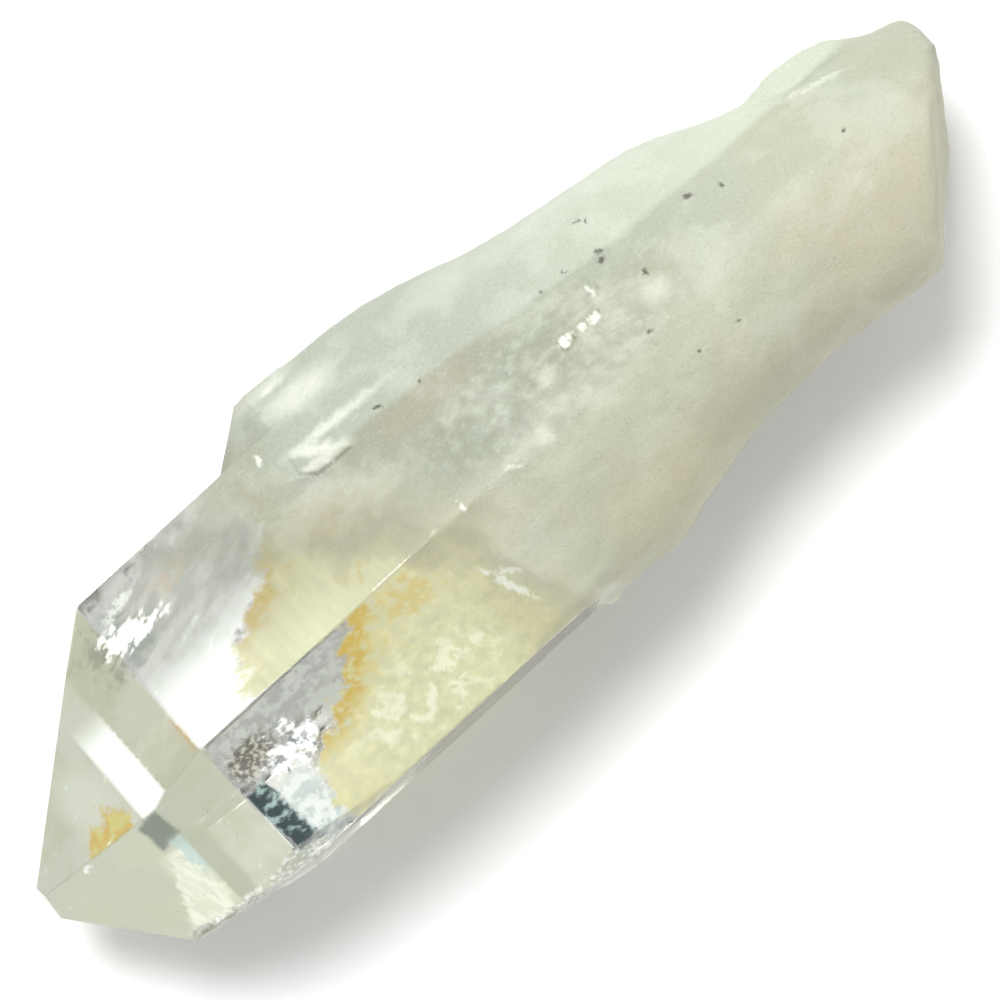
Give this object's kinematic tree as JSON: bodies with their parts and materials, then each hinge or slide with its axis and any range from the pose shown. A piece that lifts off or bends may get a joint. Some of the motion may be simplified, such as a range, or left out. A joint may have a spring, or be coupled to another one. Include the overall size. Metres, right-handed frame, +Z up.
{
  "type": "golden healer quartz crystal",
  "caption": "Loose natural quartz point lying on its side, with a clear six-sided tip stained gold inside, a smaller crystal grown into its flank and a milky broken base.",
  "frame": {"origin": "centre of the bounding box on the surface it rests on", "axes": "+X along the crystal from its pointed tip to its broken base, +Y towards the side with the smaller crystal, +Z up"},
  "size_m": [0.0726, 0.0238, 0.018],
  "materials": {
    "quartz": "clear glassy tip with yellow iron stain inside, turning milky and satin towards the base"
  },
  "bodies": {
    "root": {"quartz_crystal": "quartz"}
  },
  "joints": []
}
